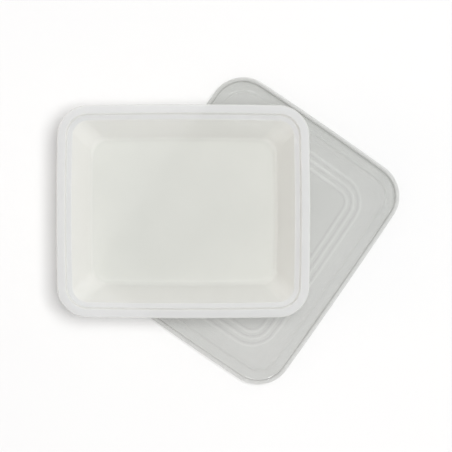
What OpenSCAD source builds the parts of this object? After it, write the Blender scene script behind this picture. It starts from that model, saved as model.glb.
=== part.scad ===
// Rectangular storage tub with a press-on lid.
//
// The two pieces lie as they do on a table before use: the lid is upside down, and the tub
// stands on it, turned against it. X runs along the tub's long side and Z is up. The origin
// is on the table, under the middle of the whole set.
//
// Both pieces are thin shells. Each has one profile, a list of [inset, z] points from its flat
// middle to its outer edge, where inset counts inward from that edge. The profile is the skin
// on top, its copy one thickness away is the skin below, and both are swept round the outline.

/* [Tub] */
// Length of the tub over its rim
tub_l = 210; // [160:1:300]
// Width of the tub over its rim
tub_w = 177; // [140:1:240]
// Height of the tub
tub_h = 45; // [30:1:70]
// Thickness of the tub's wall and floor
tub_t = 0.8; // [0.5:0.1:1.4]
// Corner radius of the rim, seen from above
rim_corner_r = 24.4; // [20:0.2:36]
// Smallest corner radius of the wall below the rim
wall_corner_r = 12; // [6:0.5:18]
// How far the middle of each side bows outward
side_bow = 1.2; // [0:0.1:3]
// Lean of the wall from upright, in degrees
wall_lean = 21; // [5:1:28]
// Radius between the wall and the floor
floor_r = 6.4; // [2:0.2:12]

/* [Rim] */
// Width of the flange, from its outer edge to the seat
flange_w = 7.2; // [5:0.2:10]
// Drop of the lip at the flange's outer edge
lip_drop = 3.6; // [2.5:0.1:4.5]
// Rounding of the flange's inner edge
flange_r = 0.9; // [0.5:0.1:1.2]
// Width of the rounding at the flange's outer edge
edge_run = 1.8; // [1:0.1:2.2]
// Depth of the rounding at the flange's outer edge
edge_drop = 1.5; // [1:0.1:2]
// Depth of the seat that takes the lid's plug
seat_drop = 5.2; // [4:0.1:8]
// How far the seat wall leans inward on its way down
seat_run = 1; // [0.4:0.1:2]
// Width of the ledge below the seat
ledge_w = 4.2; // [2:0.1:6]
// Fall of the ledge towards the wall
ledge_drop = 1.2; // [0.4:0.1:2]

/* [Lid] */
// Thickness of the lid
lid_t = 0.6; // [0.4:0.1:1]
// Height of the lid, from its crown to its lip
lid_h = 8; // [7.4:0.1:11]
// How far the lid reaches past the tub's rim
overhang = 3.4; // [2.6:0.1:5]
// Width of the rounding at the crown's outer edge
crown_run = 2.7; // [2:0.1:3.2]
// Depth of the rounding at the crown's outer edge
crown_drop = 1.7; // [1:0.1:2]
// Width of the lip at the foot of the skirt
lid_lip_w = 2.1; // [1:0.1:2.4]
// Number of steps from the ledge down to the middle panel
ring_count = 3; // [1:1:4]
// Distance from one step to the next
ring_pitch = 5.8; // [4:0.1:7]
// Corner radius of the innermost step
ring_corner_r = 10; // [6:0.2:16]
// Width of the slope at each step
riser_run = 2.4; // [0.4:0.1:3]

/* [Fits] */
// Gap between the tub's rim and the lid's skirt
rim_gap = 0.3; // [0.2:0.05:0.6]
// Gap between the tub's seat and the lid's plug
plug_gap = 0.4; // [0.2:0.05:0.8]
// Gap between the foot of the lid's plug and the tub's ledge below it
seat_gap = 0.3; // [0.1:0.05:0.8]
// How far the snap bead reaches in under the tub's lip
snap_hold = 0.3; // [0.1:0.05:0.5]
// Gap between the tub and the lid where they rest on each other
rest_gap = 0.1; // [0.05:0.05:0.3]
// Gap round a tub's foot when it stands in a closed lid
stack_gap = 3; // [1:0.1:6]

/* [Layout] */
// Place of the lid: upside down under the tub, or closed on it
lid_place = "under"; // [under, closed]
// Turn of the lid's long side from the tub's, in degrees
lid_turn = 55.3; // [0:0.1:90]
// Shift of the lid's middle along the tub's length
lid_shift_x = 56.3; // [0:0.1:80]
// Shift of the lid's middle along the tub's width
lid_shift_y = -16.3; // [-40:0.1:40]

/* [Hidden] */

milky = [0.88, 0.88, 0.86];
clear_grey = [0.78, 0.79, 0.79, 0.6];

// Steps round one corner, along one side, round the floor's radius and round an outer edge
corner_steps = 10;
side_steps = 6;
fillet_steps = 6;
edge_steps = 3;

// The tub's seat, ledge and wall, as insets from the rim
seat_foot_in = flange_w + seat_run;
wall_top_in = seat_foot_in + ledge_w;
wall_top_z = tub_h - seat_drop - ledge_drop;
fillet_turn = 90 - wall_lean;
wall_foot_z = tub_t + floor_r * (1 - cos(fillet_turn));
wall_foot_in = wall_top_in + (wall_top_z - wall_foot_z) * tan(wall_lean);
floor_in = wall_foot_in + floor_r * sin(fillet_turn);

// The lid's outline, and its own insets from its lip
lid_l = tub_l + 2 * overhang;
lid_w = tub_w + 2 * overhang;
lid_corner_r = rim_corner_r + overhang;
skirt_in = overhang - rim_gap - lid_t;
plug_in = overhang + plug_gap + lid_t;
plug_drop = seat_drop + rest_gap - seat_gap;
panel_z = lid_t - lid_h;
ring_drop = (lid_h - lid_t - plug_drop) / ring_count;
stack_in = floor_in + overhang - stack_gap;
ring_axis_in = ring_in(ring_count) + ring_corner_r;
ring_start_in = (seat_foot_in + plug_in + ring_in(1)) / 2;

// Where the tub's foot rests when the lid lies upside down
laid_top = max(lid_h, plug_drop + lid_t);

// The snap bead sits just below the tub's lip when the lid is closed
snap_top_z = -lid_t - rest_gap - lip_drop;
snap_foot_z = (snap_top_z + 2 * panel_z) / 3;

// Inset of one of the lid's steps. A tub's foot stands inside the second one from the middle.
function ring_in(k) = stack_in + (k - ring_count + 1) * ring_pitch;

// A rounded outer edge: a quarter of an ellipse from a level top down to an upright side
function bend(inset, z, run, drop) = [
    for (i = [0:edge_steps])
        let (turn = i / edge_steps * 90)
            [inset + run * (1 - sin(turn)), z - drop * (1 - cos(turn))]
];

// The tub's inner skin, from the floor's edge up the wall and over the rim, with z from its foot
tub_profile = concat(
    [
        for (i = [0:fillet_steps])
            let (turn = i / fillet_steps * fillet_turn)
                [floor_in - floor_r * sin(turn), tub_t + floor_r * (1 - cos(turn))]
    ],
    [
        [wall_top_in, wall_top_z],
        [seat_foot_in, tub_h - seat_drop],
        [flange_w, tub_h - flange_r],
        [flange_w - flange_r, tub_h]
    ],
    bend(0, tub_h, edge_run, edge_drop),
    [[0, tub_h - lip_drop]]
);

// The lid's upper skin when it is closed, from the middle panel out to the lip, with z from
// its crown
lid_profile = concat(
    [
        for (k = [ring_count:-1:1])
            each [
                [ring_in(k) + riser_run / 2, -plug_drop - k * ring_drop],
                [ring_in(k) - riser_run / 2, -plug_drop - (k - 1) * ring_drop]
            ]
    ],
    [
        [seat_foot_in + plug_in, -plug_drop],
        [flange_w + plug_in, -flange_r],
        [flange_w + plug_in - flange_r, 0]
    ],
    bend(skirt_in, 0, crown_run, crown_drop),
    [
        [skirt_in, snap_top_z],
        [skirt_in + rim_gap + snap_hold, (snap_top_z + snap_foot_z) / 2],
        [(skirt_in + lid_lip_w) / 2, snap_foot_z],
        [lid_lip_w, panel_z],
        [0, panel_z]
    ]
);

// Way along a profile after point i, as a unit vector. Before the first point it is level.
function way(path, i) =
    i < 0
        ? [-1, 0]
        : let (j = min(i, len(path) - 2), d = path[j + 1] - path[j]) d / norm(d);

// The side of a way that the shell's thickness lies on: below it where it runs outward
function side_of(d) = [-d[1], d[0]];

// A profile moved sideways by t, with mitred corners
function beside(path, t) = [
    for (i = [0:len(path) - 1])
        let (a = side_of(way(path, i - 1)), b = side_of(way(path, i)))
            path[i] + t * (a + b) / (1 + a * b)
];

function backwards(list) = [for (i = [len(list) - 1:-1:0]) list[i]];

// The closed section of a shell: the upper skin outward, then the lower skin back inward
function section(path, t) = concat(path, backwards(beside(path, t)));

// Point on the corner in quadrant q of a rounded rectangle, where part runs from 0 to 1
function corner_point(half, r, q, part) =
    let (sx = q == 0 || q == 3 ? 1 : -1, sy = q < 2 ? 1 : -1, a = 90 * (q + part))
        [sx * (half[0] - r) + r * cos(a), sy * (half[1] - r) + r * sin(a)];

// Pushes an outline's point outward, most of all at the middle of a side
function bowed(p, half) =
    [
        p[0] + side_bow * p[0] / half[0] * (1 - pow(p[1] / half[1], 2)),
        p[1] + side_bow * p[1] / half[1] * (1 - pow(p[0] / half[0], 2))
    ];

// Outline of a rounded rectangle with bowed sides, counter-clockwise
function outline(length, width, inset, r) =
    let (half = [length / 2 - inset - side_bow, width / 2 - inset - side_bow])
        [
            for (q = [0:3])
                let (
                    last = corner_point(half, r, q, 1),
                    next = corner_point(half, r, (q + 1) % 4, 0)
                )
                    each concat(
                        [
                            for (i = [0:corner_steps])
                                bowed(corner_point(half, r, q, i / corner_steps), half)
                        ],
                        [
                            for (i = [1:side_steps - 1])
                                bowed(last + (next - last) * i / side_steps, half)
                        ]
                    )
        ];

// A shell through levels of [inset, z, corner radius], closed at both ends by a flat face
module shell(length, width, levels) {
    per_ring = 4 * (corner_steps + side_steps);
    points = [
        for (v = levels)
            for (p = outline(length, width, v[0], v[2]))
                [p[0], p[1], v[1]]
    ];
    bands = [
        for (k = [0:len(levels) - 2])
            for (i = [0:per_ring - 1])
                let (a = k * per_ring + i, b = k * per_ring + (i + 1) % per_ring)
                    each [[a, b, b + per_ring], [a, b + per_ring, a + per_ring]]
    ];
    first = [for (i = [per_ring - 1:-1:0]) i];
    last = [for (i = [0:per_ring - 1]) (len(levels) - 1) * per_ring + i];
    polyhedron(points = points, faces = concat([first], bands, [last]));
}

module tub_shape() {
    levels = [
        for (p = section(tub_profile, tub_t))
            [p[0], p[1], max(rim_corner_r - p[0], wall_corner_r)]
    ];
    shell(tub_l, tub_w, levels);
}

module lid_shape() {
    levels = [
        for (p = section(lid_profile, lid_t))
            [p[0], p[1], (p[0] < ring_start_in ? lid_corner_r : ring_axis_in) - p[0]]
    ];
    shell(lid_l, lid_w, levels);
}

// The lid's edge as laid out, about the tub's middle
laid_edge = [
    for (p = outline(lid_l, lid_w, 0, lid_corner_r))
        [
            lid_shift_x + p[0] * cos(lid_turn) - p[1] * sin(lid_turn),
            lid_shift_y + p[0] * sin(lid_turn) + p[1] * cos(lid_turn)
        ]
];

// Middle of the laid-out set along axis 0 or 1, about the tub's middle
function set_middle(axis, tub_half) =
    let (edge = [for (p = laid_edge) p[axis]])
        (min(min(edge), -tub_half) + max(max(edge), tub_half)) / 2;

laid = lid_place == "under";
tub_x = laid ? -set_middle(0, tub_l / 2) : 0;
tub_y = laid ? -set_middle(1, tub_w / 2) : 0;

module tub() {
    color(milky)
        translate([tub_x, tub_y, laid ? laid_top + rest_gap : 0])
            tub_shape();
}

module lid() {
    color(clear_grey)
        if (laid) {
            translate([tub_x + lid_shift_x, tub_y + lid_shift_y, 0])
                rotate([180, 0, lid_turn])
                    lid_shape();
        } else {
            translate([0, 0, tub_h + rest_gap + lid_t])
                lid_shape();
        }
}

tub();
lid();
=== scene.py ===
"""Looks of a rectangular milky plastic tub that stands on its clear press-on lid.

Both pieces are thin shells. Each has a profile of [inset, z, bend radius] points from its flat
middle to its edge, as the CAD part has, here with every bend rounded. The profile and its copy
one thickness away are swept round a rounded rectangle whose sides bow outward a little.
"""

import math

import bpy
import numpy as np
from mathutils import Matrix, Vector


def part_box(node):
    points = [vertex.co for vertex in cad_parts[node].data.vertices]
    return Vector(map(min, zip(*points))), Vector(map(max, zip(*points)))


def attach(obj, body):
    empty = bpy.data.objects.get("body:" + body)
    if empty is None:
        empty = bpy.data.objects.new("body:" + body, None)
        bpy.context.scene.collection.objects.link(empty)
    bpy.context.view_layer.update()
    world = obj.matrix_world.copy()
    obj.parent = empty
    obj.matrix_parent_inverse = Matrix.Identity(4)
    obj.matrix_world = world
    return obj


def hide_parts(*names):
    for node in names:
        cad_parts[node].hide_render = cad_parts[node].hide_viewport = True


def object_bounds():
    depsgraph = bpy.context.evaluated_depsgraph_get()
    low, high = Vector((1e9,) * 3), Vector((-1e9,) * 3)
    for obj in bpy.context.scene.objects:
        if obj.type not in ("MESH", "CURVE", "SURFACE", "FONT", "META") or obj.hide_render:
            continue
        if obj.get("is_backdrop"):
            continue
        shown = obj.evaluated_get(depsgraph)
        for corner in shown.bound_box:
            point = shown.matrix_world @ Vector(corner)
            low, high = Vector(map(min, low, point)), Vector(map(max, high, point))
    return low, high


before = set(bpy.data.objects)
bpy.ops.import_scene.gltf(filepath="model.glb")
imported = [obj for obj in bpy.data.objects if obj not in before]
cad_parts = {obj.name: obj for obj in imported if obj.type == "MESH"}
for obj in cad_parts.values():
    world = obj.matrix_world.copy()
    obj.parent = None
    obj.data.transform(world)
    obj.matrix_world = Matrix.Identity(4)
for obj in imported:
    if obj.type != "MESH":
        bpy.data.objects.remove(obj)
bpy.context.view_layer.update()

MM = 0.001

# ---------------------------------------------------------------- the part's own sizes, in mm
TUB_T = 0.8
RIM_CORNER_R = 24.4
WALL_CORNER_R = 12.0
SIDE_BOW = 1.2
WALL_LEAN = 21.0
FLOOR_R = 6.4
FLANGE_W = 7.2
LIP_DROP = 3.6
FLANGE_R = 0.9
EDGE_RUN = 1.8
EDGE_DROP = 1.5
SEAT_DROP = 5.2
SEAT_RUN = 1.0
LEDGE_W = 4.2
LEDGE_DROP = 1.2
LID_T = 0.6
LID_H = 8.0
OVERHANG = 3.4
CROWN_RUN = 2.7
CROWN_DROP = 1.7
LID_LIP_W = 2.1
RING_COUNT = 3
RING_PITCH = 5.8
RING_CORNER_R = 10.0
RISER_RUN = 2.4
RIM_GAP = 0.3
PLUG_GAP = 0.4
SEAT_GAP = 0.3
SNAP_HOLD = 0.3
REST_GAP = 0.1
STACK_GAP = 3.0
PLUG_DROP = SEAT_DROP + REST_GAP - SEAT_GAP
LID_TURN = 55.3
FACET_SAG = 0.02  # the CAD's straight-edged corners fall this far inside the true arcs

# ---------------------------------------------------------------- the fine meshes' bends, in mm
WALL_TOP_BEND = 1.6
SEAT_FOOT_BEND = 1.0
PLUG_FOOT_BEND = 1.2
RISER_BEND = 6.0
SKIRT_BEND = 0.5
LEAST_BEND = 0.15
FLAT_START = 4.0  # the flat middle's ring of points lies this far inside its outer edge

# Places of the corners that become round edges, as shares of the CAD's own roundings
FLANGE_CORNER = 0.2
EDGE_CORNER = 0.3
CROWN_CORNER = 0.4
DROP_CORNER = 0.6

# A bend takes up at most this share of the shorter side beside it, and below this reach the
# corner stays as it is
BEND_ROOM = 0.48
LEAST_REACH = 1e-6

# Steps round a corner, along a side, round a bend and round a sheet's end
CORNER_STEPS = 28
SIDE_STEPS = 28
BEND_STEPS = 5
END_STEPS = 6

# ---------------------------------------------------------------- tones and surfaces
MILK_DARK = (0.67, 0.677, 0.643)
MILK_LIGHT = (0.69, 0.697, 0.663)
# Painted light: the steep walls take a far lighter tone than the tub's floor. It stands in for
# the light they get less of, so that walls and floor come out equally bright.
WALL_PAINTED_LIGHT = (0.91, 0.91, 0.88)
# Painted shade: the rim, above these heights, takes a slightly darker tone, so that the full
# light it catches doesn't make it brighter than the walls.
RIM_PAINTED_SHADE = (0.65, 0.655, 0.655)
RIM_PAINTED_SHADE_FROM_TO = (0.045, 0.0465)  # metres above the table
WALL_FROM_STEEP = 0.4
MILK_ROUGHNESS = (0.38, 0.48)
MILK_IOR = 1.49
MILK_GLOW = 0.1
FLAT_CLEAR = (0.36, 0.36, 0.36)
WALL_CLEAR = (0.42, 0.42, 0.42)

# Painted shade: the lid lets a little less through towards +Y, so that it looks darker there.
# This stands in for the uneven light across it.
LID_PAINTED_SHADE_LOW = (1.0, 1.0, 0.995)
LID_PAINTED_SHADE_HIGH = (0.975, 0.977, 0.97)
LID_PAINTED_SHADE_FROM_TO = (-0.12, 0.12)  # metres along Y
THICK = (0.925, 0.925, 0.925)
THIN = (1.0, 1.0, 1.0)
HAZE_DARK = (0.6, 0.61, 0.6)
HAZE_LIGHT = (0.64, 0.65, 0.64)
HAZE_EDGE_ON = 0.1
HAZE_FACING = 0.183
HAZE_BLEND = 0.4
HAZE_BACK = 0.4
LID_ROUGHNESS = (0.14, 0.2)
LID_IOR = 1.5
MOST_MIRROR = 0.05

FLOOR_DARK = (0.71, 0.71, 0.71)
FLOOR_LIGHT = (0.73, 0.73, 0.73)

# Noises, as features per metre and octaves, and the range that most of a noise's values fill
MILK_CLOUD = (22, 4)
MILK_WAVE = (35, 1)
MILK_GRAIN = (900, 2)
MILK_PATCHES = (260, 3)
LID_CLOUD = (30, 3)
LID_WAVE = (45, 2)
LID_SCUFF = (900, 3)
LID_PATCHES = (120, 3)
FLOOR_CLOUD = (3, 2)
NOISE_FROM_TO = (0.3, 0.7)

# Heights of what the noises do to a surface, in metres
WAVE_HEIGHT = 0.0004
GRAIN_HEIGHT = 0.00001
SCUFF_HEIGHT = 0.000003

# ---------------------------------------------------------------- floor, light and camera
FLOOR_SIDE = 12.0
FLOOR_GAP = 0.0002  # keeps the floor's face off the crown's, which lies on it
WORLD = 0.53

# Azimuth turns from +Y towards +X and zenith from straight up, in degrees. Distance and size are
# in metres, and share is the brightness that a light gives a white floor.
KEY = dict(azimuth=68, zenith=8.5, distance=3.6, size=1.2, share=0.86)
WARM_FILL = dict(azimuth=-90, zenith=65, distance=4, size=1.5, share=0.03, colour=(1, 0.7, 0.55))
LAMPS = {
    "lamp_left": dict(azimuth=-22, zenith=27, distance=4, size=0.6, share=0.2),
    "lamp_right": dict(azimuth=20, zenith=27, distance=4, size=0.6, share=0.2),
    "lamp_side": dict(azimuth=94, zenith=50, distance=4, size=0.7, share=0.1),
    "lamp_low": dict(azimuth=-56, zenith=32, distance=4, size=0.7, share=0.08),
}

CAMERA_RISE = 2.7  # above the part's top
CAMERA_REACH = 50  # how far the camera sees
FIELD = 0.3739  # width of the picture, CAMERA_RISE below the camera
AIM_SHIFT = (-0.0027, 0.0041)
SENSOR = 36.0

TRANSPARENT_BOUNCES = 24
DIFFUSE_BOUNCES = 6


# ---------------------------------------------------------------- profiles
def tub_profile(height):
    """The tub's inner skin from the floor out over the rim, and the inset of the floor's edge."""
    seat_foot_in = FLANGE_W + SEAT_RUN
    wall_top_in = seat_foot_in + LEDGE_W
    wall_top_z = height - SEAT_DROP - LEDGE_DROP
    turn = math.radians(90 - WALL_LEAN)
    wall_foot_z = TUB_T + FLOOR_R * (1 - math.cos(turn))
    wall_foot_in = wall_top_in + (wall_top_z - wall_foot_z) * math.tan(math.radians(WALL_LEAN))
    floor_in = wall_foot_in + FLOOR_R * math.sin(turn)
    corner_in = floor_in - FLOOR_R * math.tan(turn / 2)
    path = [
        (floor_in + FLAT_START, TUB_T, 0),
        (corner_in, TUB_T, FLOOR_R),
        (wall_top_in, wall_top_z, WALL_TOP_BEND),
        (seat_foot_in, height - SEAT_DROP, SEAT_FOOT_BEND),
        (FLANGE_W - FLANGE_CORNER * FLANGE_R, height, FLANGE_R),
        (EDGE_CORNER * EDGE_RUN, height, EDGE_RUN),
        (0, height - DROP_CORNER * EDGE_DROP, EDGE_DROP),
        (0, height - LIP_DROP, 0),
    ]
    return path, floor_in


def lid_profile(floor_in):
    """The closed lid's upper skin from the middle panel out to the lip, with z from its crown,
    and the insets of its steps."""
    skirt_in = OVERHANG - RIM_GAP - LID_T
    plug_in = OVERHANG + PLUG_GAP + LID_T
    panel_z = LID_T - LID_H
    ring_drop = (LID_H - LID_T - PLUG_DROP) / RING_COUNT
    rings = [
        floor_in + OVERHANG - STACK_GAP + (k - RING_COUNT + 1) * RING_PITCH
        for k in range(1, RING_COUNT + 1)
    ]
    snap_top = -LID_T - REST_GAP - LIP_DROP
    snap_foot = (snap_top + 2 * panel_z) / 3
    path = [(rings[-1] + FLAT_START, panel_z, 0)]
    for k in range(RING_COUNT, 0, -1):
        path += [
            (rings[k - 1] + RISER_RUN / 2, -PLUG_DROP - k * ring_drop, RISER_BEND, -1),
            (rings[k - 1] - RISER_RUN / 2, -PLUG_DROP - (k - 1) * ring_drop, RISER_BEND, 1),
        ]
    path += [
        (SEAT_RUN + FLANGE_W + plug_in, -PLUG_DROP, PLUG_FOOT_BEND),
        (FLANGE_W + plug_in - FLANGE_CORNER * FLANGE_R, 0, FLANGE_R),
        (skirt_in + CROWN_CORNER * CROWN_RUN, 0, CROWN_RUN),
        (skirt_in, -DROP_CORNER * CROWN_DROP, CROWN_DROP),
        (skirt_in, snap_top, SKIRT_BEND),
        (skirt_in + RIM_GAP + SNAP_HOLD, (snap_top + snap_foot) / 2, SKIRT_BEND),
        ((skirt_in + LID_LIP_W) / 2, snap_foot, SKIRT_BEND),
        (LID_LIP_W, panel_z, SKIRT_BEND),
        (0, panel_z, 0),
    ]
    return path, rings


# ---------------------------------------------------------------- mesh code
def unit(v):
    return v / np.linalg.norm(v)


def beside(path, t):
    """The path moved sideways by t, with mitred corners and bends that stay concentric."""
    points = [np.array(p[:2], float) for p in path]
    ways = [unit(b - a) for a, b in zip(points, points[1:])]
    ways = [ways[0]] + ways + [ways[-1]]
    out = []
    for i, p in enumerate(points):
        a, b = (np.array([-w[1], w[0]]) for w in (ways[i], ways[i + 1]))
        turn = ways[i][0] * ways[i + 1][1] - ways[i][1] * ways[i + 1][0]
        bend = path[i][2]
        bend = max(bend + math.copysign(t, turn), LEAST_BEND) if bend else 0
        moved = p + t * (a + b) / (1 + a @ b)
        out.append((moved[0], moved[1], bend, *path[i][3:]))
    return out


def rounded(path):
    """The path's points with an arc at each bend. Each point's third value is how much the sheet
    is drawn there: a bend may name +1 for thinned or -1 for thickened."""
    points = [np.array(p[:2], float) for p in path]
    out = [(*points[0], 0)]
    for i in range(1, len(points) - 1):
        before, p, after = points[i - 1 : i + 2]
        a, b = unit(before - p), unit(after - p)
        cosine = float(np.clip(a @ b, -1, 1))
        half = (math.pi - math.acos(cosine)) / 2
        room = BEND_ROOM * min(np.linalg.norm(before - p), np.linalg.norm(after - p))
        reach = min(path[i][2] * math.tan(half), room)
        if reach < LEAST_REACH:
            out.append((*p, 0))
            continue
        for k in range(BEND_STEPS + 1):
            s = k / BEND_STEPS
            weights = ((1 - s) ** 2, 2 * math.cos(half) * s * (1 - s), s**2)
            total = weights[0] * (p + a * reach) + weights[1] * p + weights[2] * (p + b * reach)
            drawn = sum(path[i][3:]) * math.sin(math.pi * s)
            out.append((*(total / sum(weights)), drawn))
    out.append((*points[-1], 0))
    return out


def closed_section(path, t):
    """Both skins of a shell, joined by a round edge that ends where the path ends."""
    ends = [np.array(p[:2], float) for p in path[-2:]]
    way = unit(ends[1] - ends[0])
    last = ends[1] - way * t / 2
    path = path[:-1] + [(last[0], last[1], 0)]
    side = np.array([-way[1], way[0]])
    middle = last + side * t / 2
    edge = []
    for k in range(1, END_STEPS):
        turn = math.pi * k / END_STEPS
        edge.append((*(middle + t / 2 * (way * math.sin(turn) - side * math.cos(turn))), 0))
    return rounded(path) + edge + rounded(beside(path, t))[::-1]


def by_slope(section):
    """The section with how steep it is at each point as the third value."""
    ways = np.gradient(np.array([p[:2] for p in section]), axis=0)
    return [(p[0], p[1], abs(way[1]) / np.linalg.norm(way)) for p, way in zip(section, ways)]


def outline(length, width, inset, r):
    """Points of a rounded rectangle with bowed sides, counter-clockwise, as an array."""
    half = np.array([length / 2, width / 2]) - inset - SIDE_BOW
    signs = [(1, 1), (-1, 1), (-1, -1), (1, -1)]
    arcs = []
    for q, sign in enumerate(signs):
        turn = np.radians(90 * (q + np.linspace(0, 1, CORNER_STEPS + 1)))
        centre = np.array(sign) * (half - r)
        arcs.append(centre + r * np.stack([np.cos(turn), np.sin(turn)], axis=1))
    points = []
    for q, arc in enumerate(arcs):
        following = arcs[(q + 1) % 4][0]
        share = np.linspace(0, 1, SIDE_STEPS + 1)[1:-1, None]
        points += [arc, arc[-1] + (following - arc[-1]) * share]
    flat = np.concatenate(points)
    across = flat[:, ::-1] / half[::-1]
    return flat + SIDE_BOW * flat / half * (1 - across**2)


def shell(name, length, width, section, corner_r, trait):
    """A closed mesh swept through the section round the outline. The section's third values go
    into an attribute with the trait's name."""
    rings = []
    for p in section:
        ring = outline(length, width, p[0], corner_r(p[0]))
        rings.append(np.column_stack([ring, np.full(len(ring), p[1])]))
    count = len(rings[0])
    faces = [tuple(range(count))]
    for k in range(len(rings) - 1):
        for i in range(count):
            a, b = k * count + i, k * count + (i + 1) % count
            faces.append((a, a + count, b + count, b))
    faces.append(tuple(len(rings) * count - 1 - i for i in range(count)))
    mesh = bpy.data.meshes.new(name)
    mesh.from_pydata((np.concatenate(rings) * MM).tolist(), [], faces)
    values = mesh.attributes.new(trait, "FLOAT", "POINT")
    values.data.foreach_set("value", np.repeat([p[2] for p in section], count))
    mesh.update()
    mesh.shade_smooth()
    piece = bpy.data.objects.new(name, mesh)
    bpy.context.scene.collection.objects.link(piece)
    return piece


def place(piece, centre, z, turn=0.0, upside_down=False):
    """Moves the piece's points to their place, so that its object stays at the origin."""
    c, s = math.cos(math.radians(turn)), math.sin(math.radians(turn))
    co = np.zeros(len(piece.data.vertices) * 3)
    piece.data.vertices.foreach_get("co", co)
    co = co.reshape(-1, 3)
    if upside_down:
        co[:, 1:] *= -1
    x, y = co[:, 0] * c - co[:, 1] * s, co[:, 0] * s + co[:, 1] * c
    co = np.stack([x + centre[0], y + centre[1], co[:, 2] + z], axis=1)
    piece.data.vertices.foreach_set("co", co.ravel())
    piece.data.update()


# ---------------------------------------------------------------- shader nodes
def material(name):
    """A new material with an empty node tree."""
    mat = bpy.data.materials.new(name)
    mat.use_nodes = True
    mat.node_tree.nodes.clear()
    return mat, mat.node_tree


def added(tree, kind, inputs, **settings):
    """A new shader node. Each of its inputs takes a value or another node's socket."""
    node = tree.nodes.new("ShaderNode" + kind)
    for name, value in settings.items():
        setattr(node, name, value)
    for name, value in inputs.items():
        if isinstance(value, bpy.types.NodeSocket):
            tree.links.new(value, node.inputs[name])
        else:
            node.inputs[name].default_value = value
    return node


def noise(tree, scale, detail):
    """A noise in the row frame, with features about 1/scale metres across."""
    where = added(tree, "TexCoord", {}).outputs["Object"]
    inputs = {"Scale": scale, "Detail": detail, "Vector": where}
    return added(tree, "TexNoise", inputs).outputs["Fac"]


def attribute(tree, name):
    """The values that a mesh's points carry under a name."""
    return added(tree, "Attribute", {}, attribute_name=name).outputs["Fac"]


def ranged(tree, value, inputs, **settings):
    """A value spread over another range. The inputs name what differs from 0..1."""
    return added(tree, "MapRange", {"Value": value, **inputs}, **settings).outputs["Result"]


def patches(tree, size, low, high):
    """A noise spread over low..high."""
    inputs = {
        "From Min": NOISE_FROM_TO[0],
        "From Max": NOISE_FROM_TO[1],
        "To Min": low,
        "To Max": high,
    }
    return ranged(tree, noise(tree, *size), inputs)


def share_along(tree, axis, low, high):
    """Rises from 0 to 1 between two places along an axis of the row frame, in metres."""
    where = added(tree, "TexCoord", {}).outputs["Object"]
    split = added(tree, "SeparateXYZ", {"Vector": where})
    inputs = {"From Min": low, "From Max": high}
    return ranged(tree, split.outputs[axis], inputs, interpolation_type="SMOOTHSTEP")


def blended(tree, share, first, second, blend_type="MIX"):
    """A colour made of two, each a tone or a socket."""
    ends = [(*tone, 1) if isinstance(tone, tuple) else tone for tone in (first, second)]
    inputs = {"Factor": share, "A": ends[0], "B": ends[1]}
    mix = added(tree, "Mix", inputs, data_type="RGBA", blend_type=blend_type)
    return mix.outputs["Result"]


def bumped(tree, size, height, **below):
    """The way a surface faces when a noise roughens it. Normal names what lies below that."""
    inputs = {"Height": noise(tree, *size), "Distance": height, **below}
    return added(tree, "Bump", inputs).outputs["Normal"]


def mixed(tree, share, first, second):
    """A mix of two shaders; share is the second one's part, a number or a socket."""
    inputs = {"Fac": share, 1: first.outputs[0], 2: second.outputs[0]}
    return added(tree, "MixShader", inputs)


# ---------------------------------------------------------------- materials
def milky_plastic():
    """Natural polypropylene: milky, satin, and thin enough to glow and to show what is below."""
    mat, tree = material("milky_plastic")
    on_wall = ranged(tree, attribute(tree, "steep"), {"From Min": WALL_FROM_STEEP})
    rim_painted_shade_share = share_along(tree, "Z", *RIM_PAINTED_SHADE_FROM_TO)
    tone = blended(tree, patches(tree, MILK_CLOUD, 0, 1), MILK_DARK, MILK_LIGHT)
    # Painted shade: the rim turns a little darker than the rest of the same plastic
    tone = blended(tree, rim_painted_shade_share, tone, RIM_PAINTED_SHADE)
    # Painted light: the steep walls turn much lighter than the rest of the same plastic
    tone = blended(tree, on_wall, tone, WALL_PAINTED_LIGHT)
    wave = bumped(tree, MILK_WAVE, WAVE_HEIGHT)
    grain = bumped(tree, MILK_GRAIN, GRAIN_HEIGHT, Normal=wave)
    roughness = patches(tree, MILK_PATCHES, *MILK_ROUGHNESS)
    satin_inputs = {"Base Color": tone, "Roughness": roughness, "IOR": MILK_IOR, "Normal": grain}
    satin = added(tree, "BsdfPrincipled", satin_inputs)
    glow = added(tree, "BsdfTranslucent", {"Color": tone, "Normal": grain})
    clear = added(tree, "BsdfTransparent", {})
    body = mixed(tree, MILK_GLOW, satin, glow)
    see_through = blended(tree, on_wall, FLAT_CLEAR, WALL_CLEAR)
    surface = mixed(tree, see_through, body, clear)
    added(tree, "OutputMaterial", {"Surface": surface.outputs[0]})
    return mat


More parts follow.
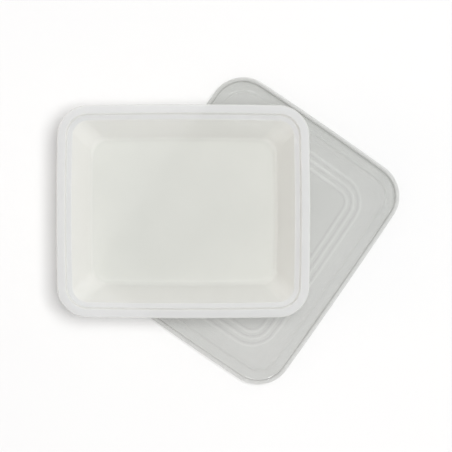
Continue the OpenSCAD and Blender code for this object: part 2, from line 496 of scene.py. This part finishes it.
def clear_plastic():
    """Thin clear sheet with a grey cast: a little mirror-like, and less hazy seen edge-on."""
    mat, tree = material("clear_plastic")
    wave = bumped(tree, LID_WAVE, WAVE_HEIGHT)
    scuff = bumped(tree, LID_SCUFF, SCUFF_HEIGHT, Normal=wave)
    # Painted shade along Y: the sheet passes less light towards +Y, which makes it look darker
    # there
    along = share_along(tree, "Y", *LID_PAINTED_SHADE_FROM_TO)
    thinness = ranged(tree, attribute(tree, "drawn"), {"From Min": -1})
    painted_shade_and_tint = blended(tree, along, LID_PAINTED_SHADE_LOW, LID_PAINTED_SHADE_HIGH)
    painted_shade_and_tint = blended(tree, 1, painted_shade_and_tint, blended(tree, thinness, THICK, THIN), "MULTIPLY")
    clear = added(tree, "BsdfTransparent", {"Color": painted_shade_and_tint})
    haze_tone = blended(tree, patches(tree, LID_CLOUD, 0, 1), HAZE_DARK, HAZE_LIGHT)
    front = added(tree, "BsdfDiffuse", {"Color": haze_tone, "Normal": scuff})
    back = added(tree, "BsdfTranslucent", {"Color": haze_tone, "Normal": scuff})
    haze = mixed(tree, HAZE_BACK, front, back)
    roughness = patches(tree, LID_PATCHES, *LID_ROUGHNESS)
    gloss = added(tree, "BsdfGlossy", {"Roughness": roughness, "Normal": scuff})
    mirror = added(tree, "Fresnel", {"IOR": LID_IOR, "Normal": scuff})
    mirror_inputs = {0: mirror.outputs["Fac"], 1: MOST_MIRROR}
    sheen = added(tree, "Math", mirror_inputs, operation="MINIMUM")
    facing = added(tree, "LayerWeight", {"Blend": HAZE_BLEND, "Normal": scuff})
    haze_ends = {"To Min": HAZE_FACING, "To Max": HAZE_EDGE_ON}
    body = mixed(tree, ranged(tree, facing.outputs["Facing"], haze_ends), clear, haze)
    surface = mixed(tree, sheen.outputs["Value"], body, gloss)
    added(tree, "OutputMaterial", {"Surface": surface.outputs[0]})
    return mat


def pale_floor():
    """Matt paint, a little uneven."""
    mat, tree = material("pale_floor")
    tone = blended(tree, noise(tree, *FLOOR_CLOUD), FLOOR_DARK, FLOOR_LIGHT)
    paint = added(tree, "BsdfDiffuse", {"Color": tone})
    added(tree, "OutputMaterial", {"Surface": paint.outputs[0]})
    return mat


# ---------------------------------------------------------------- the two pieces
def make_tub():
    """The tub, in the CAD tub's box. Returns its size and the inset of its floor's edge."""
    low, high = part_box("tub")
    size = (high - low) / MM
    path, floor_in = tub_profile(size.z)
    section = by_slope(closed_section(path, TUB_T))

    def corner_r(inset):
        return max(RIM_CORNER_R - inset, WALL_CORNER_R)

    tub = shell("tub_shell", size.x, size.y, section, corner_r, "steep")
    place(tub, (low + high) / 2, low.z)
    tub.data.materials.append(milky_plastic())
    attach(tub, "tub")
    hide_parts("tub")
    return size, floor_in


def make_lid(tub_size, floor_in):
    """The lid, upside down and turned, in the middle of the CAD lid's box."""
    low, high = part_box("lid")
    path, rings = lid_profile(floor_in)
    section = closed_section(path, LID_T)
    ring_axis_in = rings[-1] + RING_CORNER_R
    ring_start_in = rings[0] - RING_PITCH
    reach = OVERHANG - FACET_SAG

    def corner_r(inset):
        return (RIM_CORNER_R + OVERHANG if inset < ring_start_in else ring_axis_in) - inset

    length, width = tub_size.x + 2 * reach, tub_size.y + 2 * reach
    lid = shell("lid_sheet", length, width, section, corner_r, "drawn")
    place(lid, (low + high) / 2, low.z, LID_TURN, upside_down=True)
    lid.data.materials.append(clear_plastic())
    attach(lid, "lid")
    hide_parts("lid")


# ---------------------------------------------------------------- what is round the part
def make_floor(z):
    half = FLOOR_SIDE / 2
    corners = [(-half, -half, z), (half, -half, z), (half, half, z), (-half, half, z)]
    mesh = bpy.data.meshes.new("floor")
    mesh.from_pydata(corners, [], [(0, 1, 2, 3)])
    floor = bpy.data.objects.new("floor", mesh)
    bpy.context.scene.collection.objects.link(floor)
    mesh.materials.append(pale_floor())
    floor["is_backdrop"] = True


def area_light(name, azimuth, zenith, distance, size, share, colour=(1, 1, 1)):
    """A square soft light aimed at the origin."""
    a, z = math.radians(azimuth), math.radians(zenith)
    data = bpy.data.lights.new(name, "AREA")
    data.shape = "SQUARE"
    data.size = size
    data.energy = share * math.pi**2 * distance**2 / math.cos(z)
    data.color = colour
    light = bpy.data.objects.new(name, data)
    light.location = (
        distance * math.sin(z) * math.sin(a),
        distance * math.sin(z) * math.cos(a),
        distance * math.cos(z),
    )
    light.rotation_mode = "QUATERNION"
    light.rotation_quaternion = light.location.to_track_quat("Z", "Y")
    bpy.context.scene.collection.objects.link(light)
    return light


def make_world():
    world = bpy.data.worlds.new("studio")
    world.use_nodes = True
    background = world.node_tree.nodes["Background"]
    background.inputs["Color"].default_value = (1, 1, 1, 1)
    background.inputs["Strength"].default_value = WORLD
    bpy.context.scene.world = world


def make_lights():
    """A key that casts the shadows, a warm fill, and lamps that only show as glints."""
    make_world()
    key = area_light("key", **KEY)
    key.visible_glossy = False
    area_light("warm_fill", **WARM_FILL)
    for name, lamp in LAMPS.items():
        area_light(name, **lamp).visible_diffuse = False


def make_camera():
    """A camera that looks straight down from far off, as the photo's does."""
    low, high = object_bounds()
    middle = (low + high) / 2
    data = bpy.data.cameras.new("camera")
    data.sensor_width = SENSOR
    data.lens = SENSOR * CAMERA_RISE / FIELD
    data.clip_end = CAMERA_REACH
    camera = bpy.data.objects.new("camera", data)
    camera.location = (middle.x + AIM_SHIFT[0], middle.y + AIM_SHIFT[1], high.z + CAMERA_RISE)
    bpy.context.scene.collection.objects.link(camera)
    bpy.context.scene.camera = camera


make_camera()
make_floor(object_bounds()[0].z - FLOOR_GAP)
tub_size, floor_in = make_tub()
make_lid(tub_size, floor_in)
make_lights()

scene = bpy.context.scene
scene.view_settings.view_transform = "Standard"
scene.cycles.transparent_max_bounces = TRANSPARENT_BOUNCES
scene.cycles.diffuse_bounces = DIFFUSE_BOUNCES
